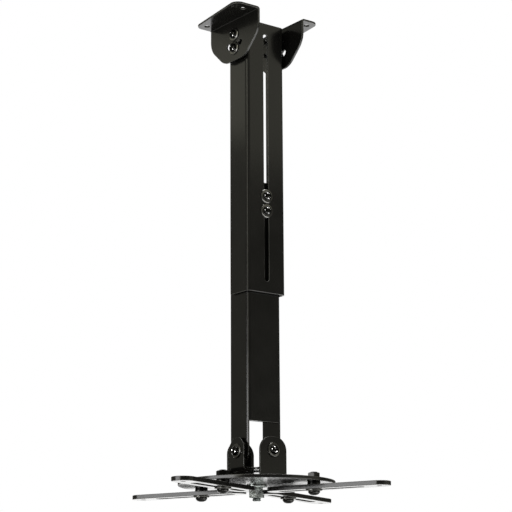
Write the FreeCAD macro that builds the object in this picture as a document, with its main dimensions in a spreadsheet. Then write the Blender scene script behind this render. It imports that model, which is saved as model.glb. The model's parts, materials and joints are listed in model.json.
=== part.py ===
# Telescopic projector mount, hung from a ceiling by two folded brackets.
# Millimetres, Z up: the ceiling is the plane Z = 0 and the slotted web of the column faces -Y.
import FreeCAD, Part
import math
import os
import Sketcher
from FreeCAD import Placement, Rotation, Vector

doc = FreeCAD.newDocument("projector_mount")
sheet = doc.addObject("Spreadsheet::Sheet", "Sizes")
aliases = []
bodies = []


# Driving sizes
class Size:
    """A number together with the expression that gives it."""

    def __init__(self, value, text):
        self.value = value
        self.text = text

    def __add__(self, other):
        other = as_size(other)
        return Size(self.value + other.value, f"({self.text} + {other.text})")

    def __sub__(self, other):
        other = as_size(other)
        return Size(self.value - other.value, f"({self.text} - {other.text})")

    def __mul__(self, other):
        other = as_size(other)
        return Size(self.value * other.value, f"({self.text} * {other.text})")

    def __truediv__(self, other):
        other = as_size(other)
        return Size(self.value / other.value, f"({self.text} / {other.text})")

    def __neg__(self):
        return Size(-self.value, f"(0 - {self.text})")


def as_size(number):
    if isinstance(number, Size):
        return number
    return Size(float(number), f"({number:.8f})")


def size(alias, value):
    """Writes a driving size to the sheet and returns it."""
    aliases.append(alias)
    row = len(aliases)
    sheet.set(f"A{row}", alias)
    sheet.set(f"B{row}", str(value))
    sheet.setAlias(f"B{row}", alias)
    return Size(float(value), f"Sizes.{alias}")


def cosine(angle):
    return Size(math.cos(math.radians(angle.value)), f"cos({angle.text} * 1 deg)")


def sine(angle):
    return Size(math.sin(math.radians(angle.value)), f"sin({angle.text} * 1 deg)")


zero = as_size(0)

# Clearances
running_gap = size("running_gap", 0.05)
free_gap = size("free_gap", 0.2)
over_cut = size("over_cut", 1)

# Ceiling brackets
bracket_sheet = size("bracket_sheet", 2.5)
bracket_length = size("bracket_length", 98)
flange_narrow = size("flange_narrow", 23)
flange_wide = size("flange_wide", 34)
flange_corner = size("flange_corner", 10)
ceiling_hole = size("ceiling_hole", 6.5)
ceiling_hole_pitch = size("ceiling_hole_pitch", 74)
ceiling_hole_inset = size("ceiling_hole_inset", 14)
pivot_drop = size("pivot_drop", 21)
ear_below_pivot = size("ear_below_pivot", 33)
ear_side_below_pivot = size("ear_side_below_pivot", 7)
ear_bottom_width = size("ear_bottom_width", 42)
ear_corner = size("ear_corner", 25)
ear_gap = size("ear_gap", 4)
bend_outer = size("bend_outer", 3.5)
bend_inner = size("bend_inner", 1)
tilt_screw_pitch = size("tilt_screw_pitch", 17.5)
tilt_slot_width = size("tilt_slot_width", 6.6)
tilt_slot_reach = size("tilt_slot_reach", 45)

# Column
channel_sheet = size("channel_sheet", 2)
channel_bend_outer = size("channel_bend_outer", 5)
outer_width = size("outer_width", 56)
channel_depth = size("channel_depth", 34.8)
outer_length = size("outer_length", 336)
outer_top_drop = size("outer_top_drop", 4.5)
slot_width = size("slot_width", 6.6)
slot_end_margin = size("slot_end_margin", 14)
inner_side_gap = size("inner_side_gap", 1.8)
slide_pad = size("slide_pad", 3)
inner_top_drop = size("inner_top_drop", 205)
inner_web_length = size("inner_web_length", 287)
leg_length = size("leg_length", 34)
extension_screw_inset = size("extension_screw_inset", 18)
extension_screw_pitch = size("extension_screw_pitch", 18)

# Lower joint
joint_sheet = size("joint_sheet", 2.5)
gimbal_gap = size("gimbal_gap", 2)
gimbal_drop = size("gimbal_drop", 21.5)
gimbal_side_width = size("gimbal_side_width", 28)
gimbal_front_width = size("gimbal_front_width", 26)
gimbal_front_reach = size("gimbal_front_reach", 30)
gimbal_above_pivot = size("gimbal_above_pivot", 15.5)
gimbal_ear_chamfer = size("gimbal_ear_chamfer", 8)
gimbal_ear_corner = size("gimbal_ear_corner", 4)
gimbal_cross_corner = size("gimbal_cross_corner", 7)
gimbal_base_hole = size("gimbal_base_hole", 22)
yoke_width = size("yoke_width", 38)
yoke_above_pivot = size("yoke_above_pivot", 15.5)
yoke_corner = size("yoke_corner", 16)
yoke_drop = size("yoke_drop", 34)

# Spider
spider_angle = size("spider_angle", 23)
clamp_radius = size("clamp_radius", 75)
disk_rim_width = size("disk_rim_width", 16)
disk_thickness = size("disk_thickness", 4)
arm_inner_radius = size("arm_inner_radius", 16)
arm_length = size("arm_length", 154)
arm_width = size("arm_width", 26)
arm_thickness = size("arm_thickness", 5)
arm_slot_inset = size("arm_slot_inset", 14)
arm_slot_length = size("arm_slot_length", 108)
arm_slot_width = size("arm_slot_width", 8.4)
arm_hole = size("arm_hole", 5.5)
arm_hole_inset = size("arm_hole_inset", 13)

# Small screws of the column and the lower joint
screw_diameter = size("screw_diameter", 6)
head_diameter = size("head_diameter", 11)
head_height = size("head_height", 3.6)
socket_flats = size("socket_flats", 4)
socket_depth = size("socket_depth", 2)
washer_diameter = size("washer_diameter", 17)
washer_thickness = size("washer_thickness", 1.5)
spacer_diameter = size("spacer_diameter", 14)
nut_flats = size("nut_flats", 10)
nut_thickness = size("nut_thickness", 5)
thread_end = size("thread_end", 1)
tilt_thread_end = size("tilt_thread_end", 10)

# Arm clamps
clamp_diameter = size("clamp_diameter", 8)
clamp_head_diameter = size("clamp_head_diameter", 13.5)
clamp_head_height = size("clamp_head_height", 4.4)
clamp_socket_flats = size("clamp_socket_flats", 5)
clamp_socket_depth = size("clamp_socket_depth", 2.6)
clamp_washer_diameter = size("clamp_washer_diameter", 19)
clamp_washer_thickness = size("clamp_washer_thickness", 1.6)
clamp_spacer_diameter = size("clamp_spacer_diameter", 15)
clamp_spacer_height = size("clamp_spacer_height", 3.6)
clamp_nut_flats = size("clamp_nut_flats", 13)
clamp_nut_thickness = size("clamp_nut_thickness", 6.5)

# Swivel bolt
swivel_diameter = size("swivel_diameter", 10)
swivel_flats = size("swivel_flats", 16)
swivel_head_height = size("swivel_head_height", 6)
swivel_washer_diameter = size("swivel_washer_diameter", 24)
swivel_washer_thickness = size("swivel_washer_thickness", 2)
swivel_sleeve_diameter = size("swivel_sleeve_diameter", 14)
swivel_sleeve_height = size("swivel_sleeve_height", 2.7)
swivel_nut_thickness = size("swivel_nut_thickness", 10)
swivel_thread_end = size("swivel_thread_end", 3.5)
doc.recompute()

# Places worked out from the driving sizes
ear_inner_x = outer_width / 2 + ear_gap
ear_outer_x = ear_inner_x + bracket_sheet
tilt_z = -pivot_drop
outer_top_z = -outer_top_drop
outer_bottom_z = outer_top_z - outer_length
inner_width = outer_width - channel_sheet * 2 - inner_side_gap * 2
web_front_y = -(channel_depth / 2)
inner_front_y = web_front_y + channel_sheet + slide_pad
inner_back_y = inner_front_y + channel_depth
axis_y = (inner_front_y + inner_back_y) / 2
inner_top_z = -inner_top_drop
inner_bottom_z = inner_top_z - inner_web_length
pivot_z = inner_bottom_z - leg_length
extension_z = inner_top_z - extension_screw_inset
gimbal_x = inner_width / 2 + gimbal_gap + joint_sheet
gimbal_base_z = pivot_z - gimbal_drop
yoke_reach = gimbal_front_reach + joint_sheet
disk_top_z = pivot_z - yoke_drop
disk_low_z = disk_top_z - disk_thickness
disk_diameter = (clamp_radius + disk_rim_width) * 2
arm_top_z = disk_low_z - clamp_spacer_height
arm_low_z = arm_top_z - arm_thickness
arm_tip_radius = arm_inner_radius + arm_length
arm_slot_radius = arm_inner_radius + arm_slot_inset


# Modelling helpers
def bind(item, path, value):
    item.setExpression(path, value.text)


def new_body(label):
    body = doc.addObject("PartDesign::Body", label)
    body.Label = label
    body.AllowCompound = True
    bodies.append(body)
    return body


def origin_plane(body, role):
    return [item for item in body.Origin.OriginFeatures if item.Role == role][0]


def new_sketch(body, role, across, along, off):
    sketch = body.newObject("Sketcher::SketchObject", body.Label + "_sketch")
    sketch.AttachmentSupport = [(origin_plane(body, role), "")]
    sketch.MapMode = "FlatFace"
    sketch.AttachmentOffset = Placement(Vector(across.value, along.value, off.value), Rotation())
    bind(sketch, "AttachmentOffset.Base.x", across)
    bind(sketch, "AttachmentOffset.Base.y", along)
    bind(sketch, "AttachmentOffset.Base.z", off)
    return sketch


def fix_point(sketch, geometry, point, across, along):
    for kind, value in (("DistanceX", across), ("DistanceY", along)):
        index = sketch.addConstraint(Sketcher.Constraint(kind, -1, 1, geometry, point, value.value))
        bind(sketch, f"Constraints[{index}]", value)


def polygon(sketch, corners):
    """Closed outline through corners given as sizes."""
    first = sketch.GeometryCount
    count = len(corners)
    for index in range(count):
        start = corners[index]
        stop = corners[(index + 1) % count]
        tail = Vector(start[0].value, start[1].value, 0)
        head = Vector(stop[0].value, stop[1].value, 0)
        sketch.addGeometry(Part.LineSegment(tail, head), False)
    for index in range(count):
        joined = first + (index + 1) % count
        sketch.addConstraint(Sketcher.Constraint("Coincident", first + index, 2, joined, 1))
    for index, corner in enumerate(corners):
        fix_point(sketch, first + index, 1, corner[0], corner[1])


def rectangle(sketch, left, low, right, high):
    polygon(sketch, [(left, low), (right, low), (right, high), (left, high)])


def circle(sketch, across, along, diameter):
    centre = Vector(across.value, along.value, 0)
    index = sketch.addGeometry(Part.Circle(centre, Vector(0, 0, 1), diameter.value / 2), False)
    fix_point(sketch, index, 3, across, along)
    held = sketch.addConstraint(Sketcher.Constraint("Diameter", index, diameter.value))
    bind(sketch, f"Constraints[{held}]", diameter)


def hexagon(sketch, across, along, flats):
    corner = flats / 2 / math.cos(math.pi / 6)
    points = []
    for step in range(6):
        turn = math.radians(60 * step + 30)
        points.append((across + corner * math.cos(turn), along + corner * math.sin(turn)))
    polygon(sketch, points)


def add_feature(body, kind, sketch):
    feature = body.newObject(kind, body.Label + "_" + kind.split("::")[1].lower())
    feature.Profile = sketch
    sketch.Visibility = False
    return feature


def plate(body, role, low, high, draw):
    """Pads an outline between two heights along the world axis square to the plane."""
    start = -high if role == "XZ_Plane" else low
    sketch = new_sketch(body, role, zero, zero, start)
    draw(sketch)
    feature = add_feature(body, "PartDesign::Pad", sketch)
    bind(feature, "Length", high - low)
    doc.recompute()
    return feature


def cut(body, role, low, high, draw):
    """Cuts an outline between two heights along the world axis square to the plane."""
    before = body.Shape.Volume
    start = -low if role == "XZ_Plane" else high
    sketch = new_sketch(body, role, zero, zero, start)
    draw(sketch)
    feature = add_feature(body, "PartDesign::Pocket", sketch)
    bind(feature, "Length", high - low)
    doc.recompute()
    if body.Shape.Volume > before - 1e-3:
        raise RuntimeError("a pocket cuts nothing in " + body.Label)
    return feature


def turned(body, axis, x, y, z, profile):
    """Revolves a profile of (radius, height) points about the line through a point along an axis."""
    if axis == "Z":
        sketch = new_sketch(body, "XZ_Plane", x, z, -y)
    else:
        sketch = new_sketch(body, "XY_Plane", x, y, z)
    if axis == "X":
        polygon(sketch, [(height, radius) for radius, height in profile])
    else:
        polygon(sketch, profile)
    feature = add_feature(body, "PartDesign::Revolution", sketch)
    feature.ReferenceAxis = (sketch, ["H_Axis" if axis == "X" else "V_Axis"])
    feature.Angle = 360
    doc.recompute()
    return feature


def mirrored(body, role, originals):
    feature = body.newObject("PartDesign::Mirrored", body.Label + "_mirrored")
    feature.Originals = originals
    feature.MirrorPlane = (origin_plane(body, role), [""])
    body.Tip = feature
    doc.recompute()


def round_edges(body, radius, direction, places):
    """Fillets the edges along a direction whose middle lies at one of the places (None is free)."""
    names = []
    for index, edge in enumerate(body.Shape.Edges):
        if len(edge.Vertexes) != 2 or edge.Curve.TypeId != "Part::GeomLine":
            continue
        run = (edge.Vertexes[1].Point - edge.Vertexes[0].Point).normalize()
        if abs(run.dot(direction)) < 0.999:
            continue
        middle = (edge.Vertexes[1].Point + edge.Vertexes[0].Point) * 0.5
        for place in places:
            if all(want is None or abs(want.value - got) < 0.02 for want, got in zip(place, middle)):
                names.append(f"Edge{index + 1}")
    if not names:
        raise RuntimeError("no edge to round in " + body.Label)
    base = body.Tip
    feature = body.newObject("PartDesign::Fillet", body.Label + "_fillet")
    feature.Base = (base, names)
    bind(feature, "Radius", radius)
    doc.recompute()


along_x = Vector(1, 0, 0)
along_y = Vector(0, 1, 0)
along_z = Vector(0, 0, 1)


# Ceiling brackets
def ceiling_bracket(label, turn):
    body = new_body(label)
    end_y = bracket_length / 2
    narrow_x = -(ear_outer_x + flange_narrow)
    wide_x = -(ear_outer_x + flange_wide)
    hole_x = -(ear_outer_x + ceiling_hole_inset)
    hole_y = ceiling_hole_pitch / 2
    low_z = tilt_z - ear_below_pivot
    side_z = tilt_z - ear_side_below_pivot
    low_y = ear_bottom_width / 2
    flange = [(-ear_inner_x, -end_y), (-ear_inner_x, end_y), (narrow_x, end_y), (wide_x, -end_y)]
    ear = [(-end_y, zero), (-end_y, side_z), (-low_y, low_z),
           (low_y, low_z), (end_y, side_z), (end_y, zero)]
    plate(body, "XY_Plane", -bracket_sheet, zero, lambda sketch: polygon(sketch, flange))
    plate(body, "YZ_Plane", -ear_outer_x, -ear_inner_x, lambda sketch: polygon(sketch, ear))
    round_edges(body, ear_corner, along_x, [(None, -end_y, side_z), (None, end_y, side_z),
                                            (None, -low_y, low_z), (None, low_y, low_z)])
    round_edges(body, flange_corner, along_z, [(narrow_x, end_y, None), (wide_x, -end_y, None)])
    round_edges(body, bend_outer, along_y, [(-ear_inner_x, None, zero)])
    round_edges(body, bend_inner, along_y, [(-ear_outer_x, None, -bracket_sheet)])
    cut(body, "XY_Plane", -bracket_sheet - over_cut, over_cut,
        lambda sketch: [circle(sketch, hole_x, place, ceiling_hole) for place in (hole_y, -hole_y)])
    cut_low = -ear_outer_x - over_cut
    cut_high = -ear_inner_x + over_cut
    cut(body, "YZ_Plane", cut_low, cut_high,
        lambda sketch: circle(sketch, zero, tilt_z, screw_diameter + running_gap * 2))
    arc_slot(body, cut_low, cut_high)
    end_across = tilt_screw_pitch * sine(tilt_slot_reach)
    end_along = tilt_z - tilt_screw_pitch * cosine(tilt_slot_reach)
    cut(body, "YZ_Plane", cut_low, cut_high,
        lambda sketch: [circle(sketch, place, end_along, tilt_slot_width)
                        for place in (end_across, -end_across)])
    body.Placement = Placement(Vector(0, 0, 0), Rotation(along_z, turn))


def arc_slot(body, low, high):
    """Cuts the curved part of the tilt slot about the pivot."""
    before = body.Shape.Volume
    sketch = new_sketch(body, "XZ_Plane", zero, tilt_z, zero)
    near = -(tilt_screw_pitch - tilt_slot_width / 2)
    far = -(tilt_screw_pitch + tilt_slot_width / 2)
    rectangle(sketch, low, far, high, near)
    feature = add_feature(body, "PartDesign::Groove", sketch)
    feature.ReferenceAxis = (sketch, ["H_Axis"])
    feature.Midplane = True
    bind(feature, "Angle", tilt_slot_reach * 2)
    doc.recompute()
    if body.Shape.Volume > before - 1e-3:
        raise RuntimeError("the arc slot cuts nothing in " + body.Label)


ceiling_bracket("ceiling_bracket_left", 0)
ceiling_bracket("ceiling_bracket_right", 180)


# Channels
def channel_outline(width, front, back):
    side = width / 2
    inside = side - channel_sheet
    web = front + channel_sheet
    return [(-side, back), (-side, front), (side, front), (side, back),
            (inside, back), (inside, web), (-inside, web), (-inside, back)]


def bend_channel(body, width, front):
    side = width / 2
    inside = side - channel_sheet
    round_edges(body, channel_bend_outer, along_z, [(side, front, None), (-side, front, None)])
    web = front + channel_sheet
    round_edges(body, channel_bend_outer - channel_sheet, along_z,
                [(inside, web, None), (-inside, web, None)])


outer = new_body("outer_channel")
outer_side = outer_width / 2
plate(outer, "XY_Plane", outer_bottom_z, outer_top_z,
      lambda sketch: polygon(sketch, channel_outline(outer_width, web_front_y, channel_depth / 2)))
bend_channel(outer, outer_width, web_front_y)
cut(outer, "YZ_Plane", -outer_side - over_cut, outer_side + over_cut,
    lambda sketch: [circle(sketch, zero, place, screw_diameter + free_gap)
                    for place in (tilt_z, tilt_z - tilt_screw_pitch)])
slot_top_z = outer_top_z - slot_end_margin - slot_width / 2
slot_low_z = outer_bottom_z + slot_end_margin + slot_width / 2
slot_from = web_front_y - over_cut
slot_to = web_front_y + channel_sheet + over_cut
cut(outer, "XZ_Plane", slot_from, slot_to,
    lambda sketch: rectangle(sketch, -(slot_width / 2), slot_low_z, slot_width / 2, slot_top_z))
cut(outer, "XZ_Plane", slot_from, slot_to,
    lambda sketch: [circle(sketch, zero, place, slot_width) for place in (slot_low_z, slot_top_z)])

inner = new_body("inner_channel")
inner_side = inner_width / 2
plate(inner, "XY_Plane", pivot_z, inner_top_z,
      lambda sketch: polygon(sketch, channel_outline(inner_width, inner_front_y, inner_back_y)))
bend_channel(inner, inner_width, inner_front_y)
lip_x = inner_side - channel_sheet
cut(inner, "XZ_Plane", inner_front_y - over_cut, inner_front_y + channel_bend_outer,
    lambda sketch: rectangle(sketch, -lip_x, pivot_z - over_cut, lip_x, inner_bottom_z))
for leg_low, leg_high in ((-inner_side, channel_sheet - inner_side),
                          (inner_side - channel_sheet, inner_side)):
    plate(inner, "YZ_Plane", leg_low, leg_high,
          lambda sketch: circle(sketch, axis_y, pivot_z, channel_depth))
cut(inner, "YZ_Plane", -inner_side - over_cut, inner_side + over_cut,
    lambda sketch: circle(sketch, axis_y, pivot_z, screw_diameter + running_gap * 2))
cut(inner, "XZ_Plane", inner_front_y - over_cut, inner_front_y + channel_sheet + over_cut,
    lambda sketch: [circle(sketch, zero, place, screw_diameter + free_gap)
                    for place in (extension_z, extension_z - extension_screw_pitch)])

# Gimbal bracket: a cross of sheet folded up on its four sides
gimbal = new_body("gimbal_bracket")
side_half = gimbal_side_width / 2
front_half = gimbal_front_width / 2
gimbal_floor_z = gimbal_base_z + joint_sheet
plate(gimbal, "XY_Plane", gimbal_base_z, gimbal_floor_z,
      lambda sketch: rectangle(sketch, -gimbal_x, axis_y - side_half, gimbal_x, axis_y + side_half))
gimbal_front_y = axis_y - gimbal_front_reach
gimbal_back_y = axis_y + gimbal_front_reach
plate(gimbal, "XY_Plane", gimbal_base_z, gimbal_floor_z,
      lambda sketch: rectangle(sketch, -front_half, gimbal_front_y, front_half, gimbal_back_y))
round_edges(gimbal, gimbal_cross_corner, along_z,
            [(across, along, None) for across in (-front_half, front_half)
             for along in (axis_y - side_half, axis_y + side_half)])
gimbal_top_z = pivot_z + gimbal_above_pivot
gimbal_shoulder_z = gimbal_top_z - gimbal_ear_chamfer
gimbal_top_half = side_half - gimbal_ear_chamfer
gimbal_ear = [(axis_y - side_half, gimbal_base_z), (axis_y + side_half, gimbal_base_z),
              (axis_y + side_half, gimbal_shoulder_z), (axis_y + gimbal_top_half, gimbal_top_z),
              (axis_y - gimbal_top_half, gimbal_top_z), (axis_y - side_half, gimbal_shoulder_z)]
for ear_low, ear_high in ((-gimbal_x, joint_sheet - gimbal_x), (gimbal_x - joint_sheet, gimbal_x)):
    plate(gimbal, "YZ_Plane", ear_low, ear_high, lambda sketch: polygon(sketch, gimbal_ear))
round_edges(gimbal, gimbal_ear_corner, along_x, [(None, across, along) for across, along in gimbal_ear[2:]])
for ear_low, ear_high in ((gimbal_front_y, gimbal_front_y + joint_sheet),
                          (gimbal_back_y - joint_sheet, gimbal_back_y)):
    plate(gimbal, "XZ_Plane", ear_low, ear_high,
          lambda sketch: rectangle(sketch, -front_half, gimbal_base_z, front_half, pivot_z))
    plate(gimbal, "XZ_Plane", ear_low, ear_high,
          lambda sketch: circle(sketch, zero, pivot_z, gimbal_front_width))
round_edges(gimbal, bend_outer, along_y, [(gimbal_x, None, gimbal_base_z),
                                          (-gimbal_x, None, gimbal_base_z)])
round_edges(gimbal, bend_outer, along_x, [(None, gimbal_back_y, gimbal_base_z),
                                          (None, gimbal_front_y, gimbal_base_z)])
round_edges(gimbal, bend_inner, along_y, [(gimbal_x - joint_sheet, None, gimbal_floor_z),
                                          (joint_sheet - gimbal_x, None, gimbal_floor_z)])
round_edges(gimbal, bend_inner, along_x, [(None, gimbal_back_y - joint_sheet, gimbal_floor_z),
                                          (None, gimbal_front_y + joint_sheet, gimbal_floor_z)])
cut(gimbal, "XY_Plane", gimbal_base_z - over_cut, gimbal_floor_z + over_cut,
    lambda sketch: circle(sketch, zero, axis_y, gimbal_base_hole))
cut(gimbal, "YZ_Plane", -gimbal_x - over_cut, gimbal_x + over_cut,
    lambda sketch: circle(sketch, axis_y, pivot_z, screw_diameter + free_gap))
cut(gimbal, "XZ_Plane", gimbal_front_y - over_cut, gimbal_back_y + over_cut,
    lambda sketch: circle(sketch, zero, pivot_z, screw_diameter + running_gap * 2))

# Yoke bracket: a U folded from one strip
yoke = new_body("yoke_bracket")
yoke_half = yoke_width / 2
yoke_top_z = pivot_z + yoke_above_pivot
yoke_floor_z = disk_top_z + joint_sheet
yoke_front_y = axis_y - yoke_reach
yoke_back_y = axis_y + yoke_reach
plate(yoke, "XY_Plane", disk_top_z, yoke_floor_z,
      lambda sketch: rectangle(sketch, -yoke_half, yoke_front_y, yoke_half, yoke_back_y))
for ear_low, ear_high in ((yoke_front_y, gimbal_front_y), (gimbal_back_y, yoke_back_y)):
    plate(yoke, "XZ_Plane", ear_low, ear_high,
          lambda sketch: rectangle(sketch, -yoke_half, disk_top_z, yoke_half, yoke_top_z))
round_edges(yoke, yoke_corner, along_y, [(yoke_half, None, yoke_top_z), (-yoke_half, None, yoke_top_z)])
round_edges(yoke, bend_outer, along_x, [(None, yoke_back_y, disk_top_z), (None, yoke_front_y, disk_top_z)])
round_edges(yoke, bend_inner, along_x, [(None, gimbal_back_y, yoke_floor_z),
                                        (None, gimbal_front_y, yoke_floor_z)])
cut(yoke, "XY_Plane", disk_top_z - over_cut, yoke_floor_z + over_cut,
    lambda sketch: circle(sketch, zero, axis_y, swivel_diameter + free_gap))
cut(yoke, "XZ_Plane", yoke_front_y - over_cut, yoke_back_y + over_cut,
    lambda sketch: circle(sketch, zero, pivot_z, screw_diameter + free_gap))


# Fasteners: a head lies at height 0 of its profile and the shank runs to a negative height
def screw_profile(shank, diameter, length, height):
    radius = diameter / 2
    return [(zero, -length), (shank / 2, -length), (shank / 2, zero), (radius, zero),
            (radius, height * 0.3), (radius * 0.9, height * 0.62), (radius * 0.72, height * 0.87),
            (radius * 0.5, height), (zero, height)]


def ring_profile(hole, diameter, thickness):
    return [(hole / 2, zero), (diameter / 2, zero), (diameter / 2, thickness), (hole / 2, thickness)]


def facing(profile, sign):
    return [(radius, height if sign > 0 else -height) for radius, height in profile]


def set_of(label, axis, places, sign, profile):
    """Turned pieces at places along one axis, mirrored to the other side by the caller."""
    body = new_body(label)
    made = [turned(body, axis, x, y, z, facing(profile, sign)) for x, y, z in places]
    return body, made


def sockets(body, role, low, high, places, flats):
    return [cut(body, role, low, high, lambda sketch: hexagon(sketch, place[0], place[1], flats))
            for place in places]


def nuts(label, role, low, high, places, flats, hole):
    body = new_body(label)
    made = []
    for place in places:
        made.append(plate(body, role, low, high, lambda sketch: hexagon(sketch, place[0], place[1], flats)))
        made.append(cut(body, role, low - over_cut, high + over_cut,
                        lambda sketch: circle(sketch, place[0], place[1], hole)))
    return body, made


screw_hole = screw_diameter + free_gap
washer_ring = ring_profile(screw_hole, washer_diameter, washer_thickness)

# Tilt fasteners, left side first and mirrored to the right
tilt_heights = [tilt_z, tilt_z - tilt_screw_pitch]
tilt_head_x = -(ear_outer_x + washer_thickness)
tilt_nut_x = channel_sheet - outer_side
tilt_length = tilt_nut_x + nut_thickness + tilt_thread_end - tilt_head_x
body, made = set_of("tilt_screws", "X", [(tilt_head_x, zero, place) for place in tilt_heights], -1,
                    screw_profile(screw_diameter, head_diameter, tilt_length, head_height))
tilt_top_x = tilt_head_x - head_height
made += sockets(body, "YZ_Plane", tilt_top_x - over_cut, tilt_top_x + socket_depth,
                [(zero, place) for place in tilt_heights], socket_flats)
mirrored(body, "YZ_Plane", made)
body, made = set_of("tilt_washers", "X", [(-ear_outer_x, zero, place) for place in tilt_heights], -1,
                    washer_ring)
mirrored(body, "YZ_Plane", made)
body, made = set_of("tilt_spacers", "X", [(-outer_side, zero, place) for place in tilt_heights], -1,
                    ring_profile(screw_hole, spacer_diameter, ear_gap))
mirrored(body, "YZ_Plane", made)
body, made = nuts("tilt_nuts", "YZ_Plane", tilt_nut_x, tilt_nut_x + nut_thickness,
                  [(zero, place) for place in tilt_heights], nut_flats, screw_diameter)
mirrored(body, "YZ_Plane", made)

# Extension fasteners
extension_heights = [extension_z, extension_z - extension_screw_pitch]
extension_head_y = web_front_y - washer_thickness
extension_nut_y = inner_front_y + channel_sheet
extension_length = extension_nut_y + nut_thickness + thread_end - extension_head_y
extension_top_y = extension_head_y - head_height
body, made = set_of("extension_screws", "Y",
                    [(zero, extension_head_y, place) for place in extension_heights], -1,
                    screw_profile(screw_diameter, head_diameter, extension_length, head_height))
sockets(body, "XZ_Plane", extension_top_y - over_cut, extension_top_y + socket_depth,
        [(zero, place) for place in extension_heights], socket_flats)
set_of("extension_washers", "Y", [(zero, web_front_y, place) for place in extension_heights], -1,
       washer_ring)
set_of("extension_spacers", "Y", [(zero, inner_front_y, place) for place in extension_heights], -1,
       ring_profile(screw_hole, washer_diameter, slide_pad))
nuts("extension_nuts", "XZ_Plane", extension_nut_y, extension_nut_y + nut_thickness,
     [(zero, place) for place in extension_heights], nut_flats, screw_diameter)

# Gimbal fasteners, left side mirrored to the right
gimbal_head_x = -(gimbal_x + washer_thickness)
gimbal_nut_x = channel_sheet - inner_side
gimbal_length = gimbal_nut_x + nut_thickness + thread_end - gimbal_head_x
body, made = set_of("gimbal_screws", "X", [(gimbal_head_x, axis_y, pivot_z)], -1,
                    screw_profile(screw_diameter, head_diameter, gimbal_length, head_height))
gimbal_head_top_x = gimbal_head_x - head_height
made += sockets(body, "YZ_Plane", gimbal_head_top_x - over_cut, gimbal_head_top_x + socket_depth,
                [(axis_y, pivot_z)], socket_flats)
mirrored(body, "YZ_Plane", made)
body, made = set_of("gimbal_washers", "X", [(-gimbal_x, axis_y, pivot_z)], -1, washer_ring)
mirrored(body, "YZ_Plane", made)
body, made = set_of("gimbal_spacers", "X", [(-inner_side, axis_y, pivot_z)], -1,
                    ring_profile(screw_hole, spacer_diameter, gimbal_gap))
mirrored(body, "YZ_Plane", made)
body, made = nuts("gimbal_nuts", "YZ_Plane", gimbal_nut_x, gimbal_nut_x + nut_thickness,
                  [(axis_y, pivot_z)], nut_flats, screw_diameter)
mirrored(body, "YZ_Plane", made)

# Yoke fasteners, front and back
yoke_ear = yoke_reach + washer_thickness
yoke_nut = gimbal_front_reach - joint_sheet
yoke_length = yoke_ear - yoke_nut + nut_thickness + thread_end
yoke_screw = screw_profile(screw_diameter, head_diameter, yoke_length, head_height)
body = new_body("yoke_screws")
turned(body, "Y", zero, axis_y - yoke_ear, pivot_z, facing(yoke_screw, -1))
turned(body, "Y", zero, axis_y + yoke_ear, pivot_z, facing(yoke_screw, 1))
yoke_socket = yoke_ear + head_height - socket_depth
yoke_clear = yoke_socket + socket_depth + over_cut
sockets(body, "XZ_Plane", axis_y - yoke_clear, axis_y - yoke_socket, [(zero, pivot_z)], socket_flats)
sockets(body, "XZ_Plane", axis_y + yoke_socket, axis_y + yoke_clear, [(zero, pivot_z)], socket_flats)
body = new_body("yoke_washers")
turned(body, "Y", zero, axis_y - yoke_reach, pivot_z, facing(washer_ring, -1))
turned(body, "Y", zero, axis_y + yoke_reach, pivot_z, facing(washer_ring, 1))
body = new_body("yoke_nuts")
for nut_low, nut_high in ((axis_y - yoke_nut, axis_y - yoke_nut + nut_thickness),
                          (axis_y + yoke_nut - nut_thickness, axis_y + yoke_nut)):
    plate(body, "XZ_Plane", nut_low, nut_high, lambda sketch: hexagon(sketch, zero, pivot_z, nut_flats))
    cut(body, "XZ_Plane", nut_low, nut_high, lambda sketch: circle(sketch, zero, pivot_z, screw_diameter))

# Swivel bolt with its washer, sleeve and nut
swivel_washer_z = disk_low_z - swivel_washer_thickness
swivel_sleeve_z = swivel_washer_z - swivel_sleeve_height
swivel_nut_z = swivel_sleeve_z - swivel_nut_thickness
body = new_body("swivel_bolt")
plate(body, "XY_Plane", yoke_floor_z, yoke_floor_z + swivel_head_height,
      lambda sketch: hexagon(sketch, zero, axis_y, swivel_flats))
plate(body, "XY_Plane", swivel_nut_z - swivel_thread_end, yoke_floor_z,
      lambda sketch: circle(sketch, zero, axis_y, swivel_diameter))
body = new_body("swivel_washer")
turned(body, "Z", zero, axis_y, swivel_washer_z,
       ring_profile(swivel_diameter + free_gap, swivel_washer_diameter, swivel_washer_thickness))
body = new_body("swivel_sleeve")
turned(body, "Z", zero, axis_y, swivel_sleeve_z,
       ring_profile(swivel_diameter + free_gap, swivel_sleeve_diameter, swivel_sleeve_height))
nuts("swivel_nut", "XY_Plane", swivel_nut_z, swivel_sleeve_z, [(zero, axis_y)], swivel_flats,
     swivel_diameter)


# Spider: its own frame is centred on the swivel axis, with the first arm along X
def set_on_spider(body, turn):
    body.Placement = Placement(Vector(0, axis_y.value, 0), Rotation(along_z, spider_angle.value + turn))
    bind(body, "Placement.Base.y", axis_y)
    bind(body, "Placement.Rotation.Angle", spider_angle + turn)


disk = new_body("spider_disk")
plate(disk, "XY_Plane", disk_low_z, disk_top_z, lambda sketch: circle(sketch, zero, zero, disk_diameter))
cut(disk, "XY_Plane", disk_low_z - over_cut, disk_top_z + over_cut,
    lambda sketch: circle(sketch, zero, zero, swivel_diameter + running_gap * 2))
clamp_hole = cut(disk, "XY_Plane", disk_low_z - over_cut, disk_top_z + over_cut,
                 lambda sketch: circle(sketch, clamp_radius, zero, clamp_diameter + running_gap * 2))
holes = disk.newObject("PartDesign::PolarPattern", "spider_disk_pattern")
holes.Originals = [clamp_hole]
holes.Axis = ([item for item in disk.Origin.OriginFeatures if item.Role == "Z_Axis"][0], [""])
holes.Angle = 360
holes.Occurrences = 4
disk.Tip = holes
doc.recompute()
set_on_spider(disk, 0)

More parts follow.
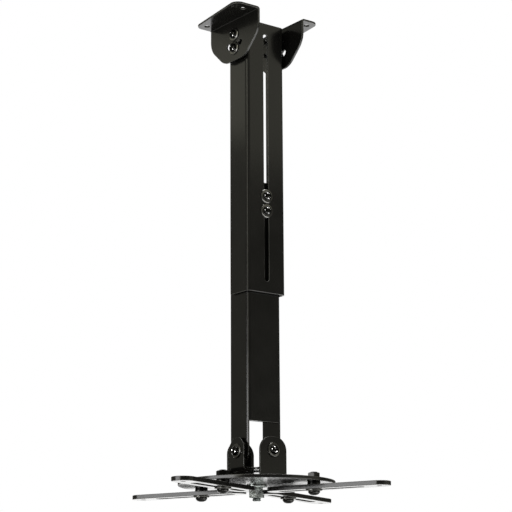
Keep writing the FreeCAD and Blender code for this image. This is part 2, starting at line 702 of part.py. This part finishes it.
# Arms and their clamps
arm_half = arm_width / 2
clamp_washer_z = arm_low_z - clamp_washer_thickness
clamp_nut_z = disk_top_z + clamp_nut_thickness
clamp_length = clamp_nut_z + thread_end - clamp_washer_z
clamp_clear = clamp_diameter + free_gap
clamp_head_z = clamp_washer_z - clamp_head_height
clamp_profile = screw_profile(clamp_diameter, clamp_head_diameter, clamp_length, clamp_head_height)


def arm_outline(body, low, high, start, stop, width):
    """A strip with round ends, from one end centre to the other."""
    plate(body, "XY_Plane", low, high,
          lambda sketch: rectangle(sketch, start, -(width / 2), stop, width / 2))
    for place in (start, stop):
        plate(body, "XY_Plane", low, high, lambda sketch: circle(sketch, place, zero, width))


for number in range(1, 5):
    quarter = 90 * (number - 1)
    arm = new_body(f"arm_{number}")
    arm_outline(arm, arm_low_z, arm_top_z, arm_inner_radius + arm_half, arm_tip_radius - arm_half,
                arm_width)
    slot_start = arm_slot_radius + arm_slot_width / 2
    slot_stop = arm_slot_radius + arm_slot_length - arm_slot_width / 2
    cut(arm, "XY_Plane", arm_low_z - over_cut, arm_top_z + over_cut,
        lambda sketch: rectangle(sketch, slot_start, -(arm_slot_width / 2), slot_stop, arm_slot_width / 2))
    cut(arm, "XY_Plane", arm_low_z - over_cut, arm_top_z + over_cut,
        lambda sketch: [circle(sketch, place, zero, arm_slot_width) for place in (slot_start, slot_stop)])
    cut(arm, "XY_Plane", arm_low_z - over_cut, arm_top_z + over_cut,
        lambda sketch: circle(sketch, arm_tip_radius - arm_hole_inset, zero, arm_hole))
    set_on_spider(arm, quarter)
    screw, made = set_of(f"clamp_screw_{number}", "Z", [(clamp_radius, zero, clamp_washer_z)], -1,
                         clamp_profile)
    sockets(screw, "XY_Plane", clamp_head_z - over_cut, clamp_head_z + clamp_socket_depth,
            [(clamp_radius, zero)], clamp_socket_flats)
    set_on_spider(screw, quarter)
    washer, made = set_of(f"clamp_washer_{number}", "Z", [(clamp_radius, zero, arm_low_z)], -1,
                          ring_profile(clamp_clear, clamp_washer_diameter, clamp_washer_thickness))
    set_on_spider(washer, quarter)
    spacer, made = set_of(f"clamp_spacer_{number}", "Z", [(clamp_radius, zero, arm_top_z)], 1,
                          ring_profile(clamp_clear, clamp_spacer_diameter, clamp_spacer_height))
    set_on_spider(spacer, quarter)
    nut, made = nuts(f"clamp_nut_{number}", "XY_Plane", disk_top_z, clamp_nut_z, [(clamp_radius, zero)],
                     clamp_nut_flats, clamp_diameter)
    set_on_spider(nut, quarter)

# Checks and files
doc.recompute()
for item in doc.Objects:
    if "Invalid" in item.State or "Error" in item.State:
        raise RuntimeError("failed object " + item.Name)
os.makedirs("parts", exist_ok=True)
for body in bodies:
    if body.Shape.isNull() or not body.Shape.isValid():
        raise RuntimeError("bad shape " + body.Label)
    body.Shape.exportStep(f"parts/{body.Label}.step")
    box = body.Shape.BoundBox
    print(body.Label, len(body.Shape.Solids), round(body.Shape.Volume, 1), box)
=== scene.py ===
"""Dresses the telescopic projector mount: painted sheet, refined fasteners, studio and camera."""
import json
import math

import bmesh
import bpy
from mathutils import Matrix, Vector


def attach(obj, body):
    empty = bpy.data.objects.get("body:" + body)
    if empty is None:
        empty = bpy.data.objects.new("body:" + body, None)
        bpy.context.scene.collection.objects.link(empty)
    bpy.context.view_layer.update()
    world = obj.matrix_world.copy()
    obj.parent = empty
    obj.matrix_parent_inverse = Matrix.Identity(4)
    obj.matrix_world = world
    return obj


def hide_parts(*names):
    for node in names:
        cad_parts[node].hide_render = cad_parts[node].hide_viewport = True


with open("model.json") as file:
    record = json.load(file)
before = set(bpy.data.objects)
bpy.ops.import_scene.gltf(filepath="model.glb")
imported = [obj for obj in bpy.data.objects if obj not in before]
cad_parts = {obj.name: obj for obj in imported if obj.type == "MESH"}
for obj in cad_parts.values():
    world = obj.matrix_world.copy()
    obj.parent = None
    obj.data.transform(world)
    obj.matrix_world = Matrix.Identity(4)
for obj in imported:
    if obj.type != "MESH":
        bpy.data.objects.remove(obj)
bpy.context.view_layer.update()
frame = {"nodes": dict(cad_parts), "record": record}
scene = bpy.context.scene
scene.view_settings.view_transform = "Standard"

# Camera, fitted to the photograph's square frame
CAMERA_PLACE = (-1.16572, -1.549363, -0.755308)
CAMERA_RIGHT = (0.80052, -0.599286, -0.004931)
CAMERA_UP = (-0.135241, -0.188657, 0.972686)
CAMERA_BACK = (-0.583847, -0.777988, -0.232071)
SENSOR_MM, LENS_MM = 36, 117.9
CLIP_NEAR, CLIP_FAR = 0.05, 200

camera = bpy.data.objects.new("camera", bpy.data.cameras.new("camera"))
scene.collection.objects.link(camera)
camera.data.sensor_width = SENSOR_MM
camera.data.lens = LENS_MM
camera.data.clip_start = CLIP_NEAR
camera.data.clip_end = CLIP_FAR
turn = Matrix((CAMERA_RIGHT, CAMERA_UP, CAMERA_BACK)).transposed().to_4x4()
camera.matrix_world = Matrix.Translation(CAMERA_PLACE) @ turn
scene.camera = camera

# Materials: the scale and detail of the noises for blotches and grain, and the grain's depth in metres
PAINT_BLOTCHES, PAINT_GRAIN, PAINT_DEPTH = (34, 3), (1500, 2), 0.00006
PLATE_BLOTCHES, PLATE_GRAIN, PLATE_DEPTH = (260, 4), (2600, 2), 0.00005
PLATE_RELIEF = 0.12
# Shares of the noise between which the tones and the roughness change
TINT_START, TINT_STOP = 0.32, 0.68
ROUGH_START, ROUGH_STOP = 0.3, 0.7


def surface(name, tones, metallic, roughness, blotches, grain, relief, depth):
    """Two tones and two roughnesses spread by blotches, with a fine grain as bump."""
    dark, light = tones
    rough_low, rough_high = roughness
    material = bpy.data.materials.new(name)
    material.use_nodes = True
    nodes, links = material.node_tree.nodes, material.node_tree.links
    shader = nodes["Principled BSDF"]
    shader.inputs["Base Color"].default_value = (*dark, 1)
    shader.inputs["Metallic"].default_value = metallic
    shader.inputs["Roughness"].default_value = rough_low
    place = nodes.new("ShaderNodeTexCoord")

    def noise(scale, detail):
        """Noise in the object's own metres."""
        texture = nodes.new("ShaderNodeTexNoise")
        texture.inputs["Scale"].default_value = scale
        texture.inputs["Detail"].default_value = detail
        links.new(place.outputs["Object"], texture.inputs["Vector"])
        return texture.outputs["Fac"]

    broad, fine = noise(*blotches), noise(*grain)

    tint = nodes.new("ShaderNodeValToRGB")
    first, last = tint.color_ramp.elements
    first.position, first.color = TINT_START, (*dark, 1)
    last.position, last.color = TINT_STOP, (*light, 1)
    links.new(broad, tint.inputs["Fac"])
    links.new(tint.outputs["Color"], shader.inputs["Base Color"])

    ranged = nodes.new("ShaderNodeMapRange")
    ranged.inputs["From Min"].default_value = ROUGH_START
    ranged.inputs["From Max"].default_value = ROUGH_STOP
    ranged.inputs["To Min"].default_value = rough_low
    ranged.inputs["To Max"].default_value = rough_high
    links.new(broad, ranged.inputs["Value"])
    links.new(ranged.outputs["Result"], shader.inputs["Roughness"])

    bump = nodes.new("ShaderNodeBump")
    bump.inputs["Strength"].default_value = relief
    bump.inputs["Distance"].default_value = depth
    links.new(fine, bump.inputs["Height"])
    links.new(bump.outputs["Normal"], shader.inputs["Normal"])
    return material


def coated(name, tones, roughness, relief):
    """Semi-gloss powder coat with fine orange peel."""
    return surface(name, tones, 0, roughness, PAINT_BLOTCHES, PAINT_GRAIN, relief, PAINT_DEPTH)


def plated(name, tones, metallic, roughness):
    """Oxide, plating or nylon with blotches and fine turned marks."""
    return surface(name, tones, metallic, roughness,
                   PLATE_BLOTCHES, PLATE_GRAIN, PLATE_RELIEF, PLATE_DEPTH)


paint = coated("powder_coat", ((0.0039, 0.0038, 0.0034), (0.0056, 0.0054, 0.0048)), (0.17, 0.23), 0.14)
# Lighter colour for the eased edges of painted sheet: a painted highlight along the edges
painted_edge_highlight = coated("powder_coat_painted_edge_highlight", ((0.04, 0.0395, 0.036), (0.08, 0.079, 0.072)), (0.2, 0.28), 0.1)
oxide = plated("black_oxide", ((0.02, 0.02, 0.0195), (0.04, 0.0395, 0.038)), 1, (0.07, 0.11))
black_zinc = plated("black_zinc", ((0.12, 0.119, 0.113), (0.19, 0.188, 0.178)), 1, (0.2, 0.3))
# Darker zinc for the bolt's thread and tip: painted shade in the grooves
zinc_painted_thread_shade = plated("zinc_painted_thread_shade", ((0.09, 0.1, 0.095), (0.24, 0.26, 0.25)), 1, (0.16, 0.28))
zinc = plated("bright_zinc", ((0.5, 0.54, 0.53), (0.7, 0.74, 0.71)), 1, (0.14, 0.28))
nylon = plated("black_nylon", ((0.012, 0.012, 0.012), (0.018, 0.018, 0.018)), 0, (0.45, 0.6))
# A darker copy of a material for the thread and tip, painted shade in the thread grooves, where one is
# given
painted_thread_shade_of = {zinc: zinc_painted_thread_shade}

# CAD nodes: their cut edges are eased, and on painted sheet the eased edges take a lighter colour, a
# painted highlight
SHEET_EASE, SMALL_EASE, EASE_SEGMENTS = 0.0005, 0.0003, 2
WELD_DISTANCE = 0.000001
FLAT_ANGLE, EDGE_ANGLE, WINDOW_ANGLE = math.radians(0.5), math.radians(40), math.radians(80)
EVEN_WEIGHT = 100

looks = {"black_paint": (paint, painted_edge_highlight, SHEET_EASE), "black_screw": (oxide, oxide, SMALL_EASE),
         "zinc": (zinc, zinc, SMALL_EASE), "black_nylon": (nylon, nylon, SMALL_EASE)}
for row in frame["record"]["subparts"]:
    item = frame["nodes"][row["node"]]
    face, edge, width = looks[row["material_slot"]]
    item.data.materials.clear()
    item.data.materials.append(face)
    item.data.materials.append(edge)
    weld = item.modifiers.new("weld", "WELD")
    weld.merge_threshold = WELD_DISTANCE
    flat = item.modifiers.new("flat", "DECIMATE")
    flat.decimate_type = "DISSOLVE"
    flat.angle_limit = FLAT_ANGLE
    ease = item.modifiers.new("ease", "BEVEL")
    ease.width = width
    ease.segments = EASE_SEGMENTS
    ease.limit_method = "ANGLE"
    ease.angle_limit = EDGE_ANGLE
    if row["node"] == "inner_channel":
        # An even offset would spike at the corners of its window
        ease.offset_type = "ABSOLUTE"
        ease.angle_limit = WINDOW_ANGLE
    ease.use_clamp_overlap = False
    ease.material = 1
    even = item.modifiers.new("even", "WEIGHTED_NORMAL")
    even.weight = EVEN_WEIGHT

# Turned and hexagonal pieces, in millimetres about their own Z
MILLIMETRE = 0.001
SEGMENTS, DOME_STEPS, THREAD_STEPS = 48, 12, 8
SHARP_ANGLE = math.radians(35)
# Shanks and bores: how far they are under and over size
UNDERSIZE, OVERSIZE = 0.02, 0.01
# Threads: depth by the pitch, the ease at the neck and the taper of the tip
THREAD_DEPTH, NECK_EASE, TIP_TAPER = 0.5, 0.1, 0.08
# Hexagons: the round face that the chamfer leaves, by the flats, and the chamfer's slope
CHAMFER_FACE, CHAMFER_SLOPE = 0.95, math.tan(math.radians(30))
# Domed heads: underside by the radius and edge by the height
HEAD_UNDER, HEAD_EDGE = 0.96, 0.06
# Domes: the lean at the edge and at the socket's rim, and the width that eases the rim
EDGE_TILT, RIM_TILT, RIM_EASE = math.radians(65), math.radians(12), 0.25
# Sockets: rim, walls at the bottom and drilled hole by the flats, then how deep the steps lie
SOCKET_RIM, SOCKET_DRAFT, SOCKET_DRILL = 0.62, 0.99, 0.46
RIM_DROP, SOCKET_CHAMFER, DRILL_STEP, DRILL_CONE = 0.12, 0.4, 0.03, 1


def hex_radius(angle, flats):
    """How far a hexagon reaches at an angle."""
    return flats / 2 / math.cos((angle + math.pi / 6) % (math.pi / 3) - math.pi / 6)


def hexagon(flats, height):
    """Ring of a plain hexagon."""
    return lambda angle: (hex_radius(angle, flats), height)


def chamfered(flats, height, inward):
    """Ring of a hexagon cut back by the chamfer of a face; inward is 1 or -1, the way into the piece."""
    face = flats / 2 * CHAMFER_FACE

    def ring(angle):
        reach = hex_radius(angle, flats)
        return reach, height + inward * (reach - face) * CHAMFER_SLOPE
    return ring


def lathe(rings, closed=False, second=()):
    """Surface through rings: a ring is (radius, height) or a function of the angle that gives them.

    The strips numbered in second take the second material.
    """
    mesh = bmesh.new()
    rows = []
    for ring in rings:
        if not callable(ring) and ring[0] == 0:
            rows.append([mesh.verts.new((0, 0, ring[1]))])
            continue
        row = []
        for step in range(SEGMENTS):
            angle = 2 * math.pi * step / SEGMENTS
            radius, height = ring(angle) if callable(ring) else ring
            row.append(mesh.verts.new((radius * math.cos(angle), radius * math.sin(angle), height)))
        rows.append(row)
    if closed:
        rows.append(rows[0])
    for strip, (low, high) in enumerate(zip(rows, rows[1:])):
        for step in range(SEGMENTS):
            after = (step + 1) % SEGMENTS
            corners = [low[step % len(low)], low[after % len(low)],
                       high[after % len(high)], high[step % len(high)]]
            mesh.faces.new(list(dict.fromkeys(corners))).material_index = int(strip in second)
    bmesh.ops.recalc_face_normals(mesh, faces=mesh.faces)
    return mesh


def thread(radius, pitch, low, high):
    """Rings of a helical thread between two heights."""
    rows = max(2, round((high - low) / pitch * THREAD_STEPS))
    depth = pitch * THREAD_DEPTH

    def ring(height):
        fade = min(1, (height - low) / pitch, (high - height) / pitch)

        def at(angle):
            share = (height / pitch - angle / (2 * math.pi)) % 1
            return radius - depth * fade * abs(2 * share - 1), height
        return at

    return [ring(low + (high - low) * index / rows) for index in range(rows + 1)]


def tip_and_thread(core, length, pitch, threaded, tip, ease, start):
    """Rings of a shank's end: a tapered tip and the thread that starts above it."""
    end = -length
    return [(0, end), (core * tip, end), (core * (tip + TIP_TAPER), end + ease),
            *thread(core, pitch, end + start, end + threaded)]


def screw(shank, head, height, length, flats, depth, pitch, threaded):
    """Button head with a hexagonal socket; the head stands on height 0 and the shank hangs below."""
    radius, core, rim = head / 2, shank / 2 - UNDERSIZE, flats * SOCKET_RIM
    rings = tip_and_thread(core, length, pitch, threaded, tip=0.72, ease=0.15, start=0.2)
    rings += [(core, threaded - length + NECK_EASE), (core, 0),
              (radius * HEAD_UNDER, 0), (radius, height * HEAD_EDGE)]
    arc = (radius - rim - RIM_EASE) / (math.sin(EDGE_TILT) - math.sin(RIM_TILT))
    for step in range(DOME_STEPS + 1):
        tilt = EDGE_TILT + (RIM_TILT - EDGE_TILT) * step / DOME_STEPS
        rings.append((radius - arc * (math.sin(EDGE_TILT) - math.sin(tilt)),
                      height - arc * (math.cos(RIM_TILT) - math.cos(tilt))))
    bottom = height - depth
    rings += [(rim, height - RIM_DROP), hexagon(flats, height - SOCKET_CHAMFER),
              hexagon(flats * SOCKET_DRAFT, bottom),
              (flats * SOCKET_DRILL, bottom - DRILL_STEP), (0, bottom - DRILL_CONE)]
    return lathe(rings)


def washer(hole, diameter, thickness):
    """Punched ring with an eased hole and a sloping rim."""
    inner, outer = hole / 2, diameter / 2
    burr, edge, slope, lip = 0.12, 0.15, 0.7, 0.05
    mouth, ease = inner + 0.25, 0.2
    return lathe([(inner, burr), (inner + burr, 0), (outer - edge, 0), (outer, edge),
                  (outer, thickness - slope - lip), (outer - slope, thickness - lip),
                  (outer - slope - edge, thickness),
                  (mouth, thickness), (inner, thickness - ease)], closed=True)


def nut(flats, thickness, bore):
    """Hexagon nut, chamfered on both faces."""
    face, inner = flats / 2 * CHAMFER_FACE, bore / 2 + OVERSIZE
    mouth, ease = inner + 0.45, 0.4
    return lathe([(mouth, 0), (face, 0), chamfered(flats, 0, 1),
                  chamfered(flats, thickness, -1), (face, thickness), (mouth, thickness),
                  (inner, thickness - ease), (inner, ease)], closed=True)


def bolt(shank, flats, head, length, pitch, threaded):
    """Hexagon bolt: the head stands on height 0 and the shank hangs below."""
    face, core = flats / 2 * CHAMFER_FACE, shank / 2 - UNDERSIZE
    hollow, dish, edge = face * 0.62, head - 0.15, 0.05
    rings = tip_and_thread(core, length, pitch, threaded, tip=0.76, ease=0.5, start=0.5)
    # The tip and thread strips take the darker zinc: painted shade in the grooves
    thread_painted_shade_strips = range(len(rings))
    rings += [(core, threaded - length + NECK_EASE), (core, 0), (face, 0), hexagon(flats, edge),
              chamfered(flats, head, -1), (face, head), (hollow, dish), (0, dish)]
    return lathe(rings, second=thread_painted_shade_strips)


def set_piece(node, body, material, shape, places):
    """Copies a turned shape to places, each a point, the way its Z faces and its spin, for a node."""
    name = f"{node}_made"
    whole = bpy.data.meshes.new(name)
    joined = bmesh.new()
    for point, facing, spin in places:
        copy = bpy.data.meshes.new("copy")
        shape.to_mesh(copy)
        aim = Vector((0, 0, 1)).rotation_difference(Vector(facing)).to_matrix().to_4x4()
        copy.transform(Matrix.Scale(MILLIMETRE, 4) @ Matrix.Translation(point) @ aim
                       @ Matrix.Rotation(math.radians(spin), 4, "Z"))
        joined.from_mesh(copy)
        bpy.data.meshes.remove(copy)
    joined.to_mesh(whole)
    joined.free()
    whole.polygons.foreach_set("use_smooth", [True] * len(whole.polygons))
    whole.set_sharp_from_angle(angle=SHARP_ANGLE)
    whole.materials.append(material)
    # Second material: for zinc, the darker copy on the thread, painted shade
    whole.materials.append(painted_thread_shade_of.get(material, material))
    piece = bpy.data.objects.new(name, whole)
    scene.collection.objects.link(piece)
    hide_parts(node)
    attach(piece, body)


def fasten(nodes, body, shapes, washer_seat, head_seat, nut_seat, axes):
    """Sets the screws, washers and nuts that hold a joint.

    An axis is a point, the way from it to the screw's head, and the spins of the screw and the nut.
    The seats are distances from that point, where the washer, the head and the nut bear.
    """
    heads, rings, nuts = [], [], []
    for point, out, spin, nut_spin in axes:
        point, out = Vector(point), Vector(out)
        heads.append((point + head_seat * out, out, spin))
        rings.append((point + washer_seat * out, out, 0))
        nuts.append((point + nut_seat * out, -out, nut_spin))
    materials, places = (oxide, black_zinc, oxide), (heads, rings, nuts)
    for node, material, shape, where in zip(nodes, materials, shapes, places):
        set_piece(node, body, material, shape, where)


# Fasteners at the places that the CAD source gives them, in millimetres
LEFT, RIGHT, FRONT, BACK = (-1, 0, 0), (1, 0, 0), (0, -1, 0), (0, 1, 0)
DOWN, ABOVE = (0, 0, -1), (0, 0, 1)
AXIS_Y, PIVOT_Z = 5, -526
TILT_Z, EXTENSION_Z = (-21, -38.5), (-223, -241)
pivot = (0, AXIS_Y, PIVOT_Z)

SMALL_SCREW = {"shank": 6, "head": 11, "height": 3.6, "flats": 4, "depth": 1.2, "pitch": 1,
               "threaded": 6.5}
SMALL_WASHER_THICKNESS = 1.5
small_washer = washer(hole=6.2, diameter=17, thickness=SMALL_WASHER_THICKNESS)
small_nut = nut(flats=10, thickness=5, bore=6)
# Name and body, length of the screws, seats of the washers and the nuts, and the axes
JOINTS = [
    ("tilt", "column", 25, 34.5, 26,
     [((0, 0, z), out, spin, 0) for out in (LEFT, RIGHT) for z, spin in zip(TILT_Z, (8, 31))]),
    ("extension", "extension", 14.5, 17.4, 10.4,
     [((0, 0, z), FRONT, spin, 0) for z, spin in zip(EXTENSION_Z, (12, 40))]),
    ("gimbal", "gimbal", 14, 28.7, 22.2, [(pivot, out, 20, 0) for out in (LEFT, RIGHT)]),
    ("yoke", "yoke", 12.5, 32.5, 27.5, [(pivot, FRONT, 5, 0), (pivot, BACK, 33, 0)]),
]
for name, body, length, washer_seat, nut_seat, axes in JOINTS:
    fasten((f"{name}_screws", f"{name}_washers", f"{name}_nuts"), body,
           (screw(length=length, **SMALL_SCREW), small_washer, small_nut),
           washer_seat, washer_seat + SMALL_WASHER_THICKNESS, nut_seat, axes)

SWIVEL_HEAD_Z, DISK_UNDER_Z, SWIVEL_NUT_Z, SWIVEL_NUT_SPIN = -557.5, -564, -578.7, 13
set_piece("swivel_bolt", "yoke", zinc,
          bolt(shank=10, flats=16, head=6, length=24.7, pitch=1.5, threaded=14),
          [((0, AXIS_Y, SWIVEL_HEAD_Z), ABOVE, 0)])
set_piece("swivel_washer", "yoke", zinc, washer(hole=10.2, diameter=24, thickness=2),
          [((0, AXIS_Y, DISK_UNDER_Z), DOWN, 0)])
set_piece("swivel_nut", "yoke", zinc, nut(flats=16, thickness=10, bore=10),
          [((0, AXIS_Y, SWIVEL_NUT_Z), ABOVE, SWIVEL_NUT_SPIN)])

CLAMP_COUNT, CLAMP_RADIUS, FIRST_CLAMP, CLAMP_NUT_SPIN = 4, 75, 23, 30
ARM_UNDER, DISK_TOP, CLAMP_WASHER_THICKNESS = 572.6, 560, 1.6
clamp_shapes = (
    screw(shank=8, head=13.5, height=4.4, length=21.7, flats=5, depth=2.6, pitch=1.25, threaded=8),
    washer(hole=8.2, diameter=19, thickness=CLAMP_WASHER_THICKNESS),
    nut(flats=13, thickness=6.5, bore=8),
)
for number in range(1, CLAMP_COUNT + 1):
    spin = FIRST_CLAMP + 360 / CLAMP_COUNT * (number - 1)
    angle = math.radians(spin)
    middle = (CLAMP_RADIUS * math.cos(angle), AXIS_Y + CLAMP_RADIUS * math.sin(angle), 0)
    fasten((f"clamp_screw_{number}", f"clamp_washer_{number}", f"clamp_nut_{number}"),
           f"clamp_{number}", clamp_shapes,
           ARM_UNDER, ARM_UNDER + CLAMP_WASHER_THICKNESS, DISK_TOP,
           [(middle, DOWN, spin, spin + CLAMP_NUT_SPIN)])


# Studio: the camera sees a white surround and floor, and everything else a dimmer one
def white_for_camera(tree, usual, white, output):
    """Shows the camera the white one of two shaders."""
    path = tree.nodes.new("ShaderNodeLightPath")
    mixed = tree.nodes.new("ShaderNodeMixShader")
    tree.links.new(path.outputs["Is Camera Ray"], mixed.inputs["Fac"])
    tree.links.new(usual, mixed.inputs[1])
    tree.links.new(white, mixed.inputs[2])
    tree.links.new(mixed.outputs["Shader"], tree.nodes[output].inputs["Surface"])


WHITE = (1, 1, 1, 1)
DIM_TONE, DIM_STRENGTH = (1, 0.98, 0.86, 1), 0.1
world = bpy.data.worlds.new("studio")
scene.world = world
world.use_nodes = True
dim = world.node_tree.nodes["Background"]
dim.inputs["Color"].default_value = DIM_TONE
dim.inputs["Strength"].default_value = DIM_STRENGTH
bright = world.node_tree.nodes.new("ShaderNodeBackground")
bright.inputs["Color"].default_value = WHITE
bright.inputs["Strength"].default_value = 1
white_for_camera(world.node_tree, dim.outputs["Background"], bright.outputs["Background"], "World Output")

FLOOR_Z, FLOOR_REACH = -2.2, 20
FLOOR_TONE, FLOOR_ROUGHNESS = (0.86, 0.86, 0.86, 1), 0.9
pale = bpy.data.materials.new("pale_floor")
pale.use_nodes = True
matte = pale.node_tree.nodes["Principled BSDF"]
matte.inputs["Base Color"].default_value = FLOOR_TONE
matte.inputs["Roughness"].default_value = FLOOR_ROUGHNESS
glow = pale.node_tree.nodes.new("ShaderNodeEmission")
glow.inputs["Color"].default_value = WHITE
glow.inputs["Strength"].default_value = 1
white_for_camera(pale.node_tree, matte.outputs["BSDF"], glow.outputs["Emission"], "Material Output")

floor_mesh = bpy.data.meshes.new("floor")
grid = bmesh.new()
bmesh.ops.create_grid(grid, x_segments=2, y_segments=2, size=FLOOR_REACH)
grid.to_mesh(floor_mesh)
grid.free()
floor_mesh.materials.append(pale)
floor = bpy.data.objects.new("floor", floor_mesh)
floor.location = (0, 0, FLOOR_Z)
scene.collection.objects.link(floor)


# Lamps
def panel(name, place, aim, width, height, watts, colour):
    """A soft rectangular lamp that faces a point."""
    light = bpy.data.lights.new(name, "AREA")
    light.shape = "RECTANGLE"
    light.size = width
    light.size_y = height
    light.energy = watts
    light.color = colour
    lamp = bpy.data.objects.new(name, light)
    lamp.location = place
    lamp.rotation_mode = "QUATERNION"
    lamp.rotation_quaternion = (Vector(aim) - Vector(place)).to_track_quat("-Z", "Y")
    lamp.visible_camera = False
    scene.collection.objects.link(lamp)
    return lamp


NEUTRAL, WARM = (1, 1, 1), (1, 0.98, 0.8)
# Name, place, the point it faces, width, height, watts and colour
PANELS = [
    ("under_back", (2.0, 2.7, -1.1), (0, 0, -0.45), 5.0, 1.1, 29, NEUTRAL),
    ("left_low", (-1.85, -0.05, -0.45), (0, 0, -0.45), 1.4, 0.6, 14.7, NEUTRAL),
    ("left_tall", (-1.7, -0.75, 0.2), (0, 0, -0.3), 0.5, 1.2, 3.1, WARM),
    ("right_wall", (1.7, -2.3, -0.3), (0, 0, -0.3), 3, 3, 1.42, WARM),
    ("floor_glow", (0.7, -1.2, -1.9), (0.2, -0.4, -0.5), 3, 3, 70, NEUTRAL),
    ("left_strip", (-0.38, 0.47, 0.12), (0, 0, -0.1), 0.5, 0.16, 0.11, WARM),
    ("front_strip", (0.35, -0.48, 0.17), (0, 0, -0.1), 0.6, 0.36, 0.3, WARM),
    ("front_low", (0.36, -0.5, -0.52), (0, 0, -0.53), 0.6, 0.12, 0.075, WARM),
    ("left_wall", (-1.8, 2.4, -0.3), (0, 0, -0.3), 3, 3, 3, WARM),
    ("above", (0.1, -0.1, 1.6), (0, 0, -0.3), 1.2, 1.2, 28, NEUTRAL),
    ("floor_left", (-1.3, -1.5, -1.9), (0, 0, -0.4), 1, 1, 14, NEUTRAL),
    ("front_fill", (-0.44, -1.65, 0.45), (0, 0, -0.15), 0.9, 0.6, 0.42, WARM),
    ("left_fill", (-1.85, 0.43, 0.52), (0, 0, -0.15), 0.6, 0.6, 0.45, WARM),
    ("bend_strip", (-0.55, -0.26, 0.17), (0, 0, -0.07), 0.34, 0.27, 0.19, WARM),
    ("right_low", (2.2, -2.6, -1.45), (0, 0, -0.35), 3, 0.9, 6, NEUTRAL),
    ("top_back", (2.2, 2.6, 0.75), (0, 0, -0.5), 4, 1.2, 12, NEUTRAL),
]
for row in PANELS:
    panel(*row)

# Small lamps that each light only one set of screws, for the dots on their heads
SPARK_AIM, SPARK_DISTANCE, SPARK_SIZE = Vector((0, 0, -0.35)), 2, 0.35
FROM_LEFT, FROM_HIGH = (-0.8, -0.556, 0.225), (0.246, -0.608, 0.755)
FROM_LOW, FROM_SIDE = (0.536, -0.712, -0.454), (-0.956, 0, -0.29)
# Name, direction, watts and the screws
SPARKS = [
    ("extension_left", FROM_LEFT, 65, "extension_screws_made"),
    ("extension_high", FROM_HIGH, 65, "extension_screws_made"),
    ("extension_low", FROM_LOW, 65, "extension_screws_made"),
    ("yoke_left", FROM_LEFT, 160, "yoke_screws_made"),
    ("yoke_high", FROM_HIGH, 160, "yoke_screws_made"),
    ("yoke_low", FROM_LOW, 50, "yoke_screws_made"),
    ("tilt_side", FROM_SIDE, 110, "tilt_screws_made"),
    ("gimbal_side", FROM_SIDE, 220, "gimbal_screws_made"),
]
for name, direction, watts, piece in SPARKS:
    place = SPARK_AIM + SPARK_DISTANCE * Vector(direction)
    lamp = panel(name, place, SPARK_AIM, SPARK_SIZE, SPARK_SIZE, watts, NEUTRAL)
    heads = bpy.data.collections.new(name)
    heads.objects.link(bpy.data.objects[piece])
    lamp.light_linking.receiver_collection = heads
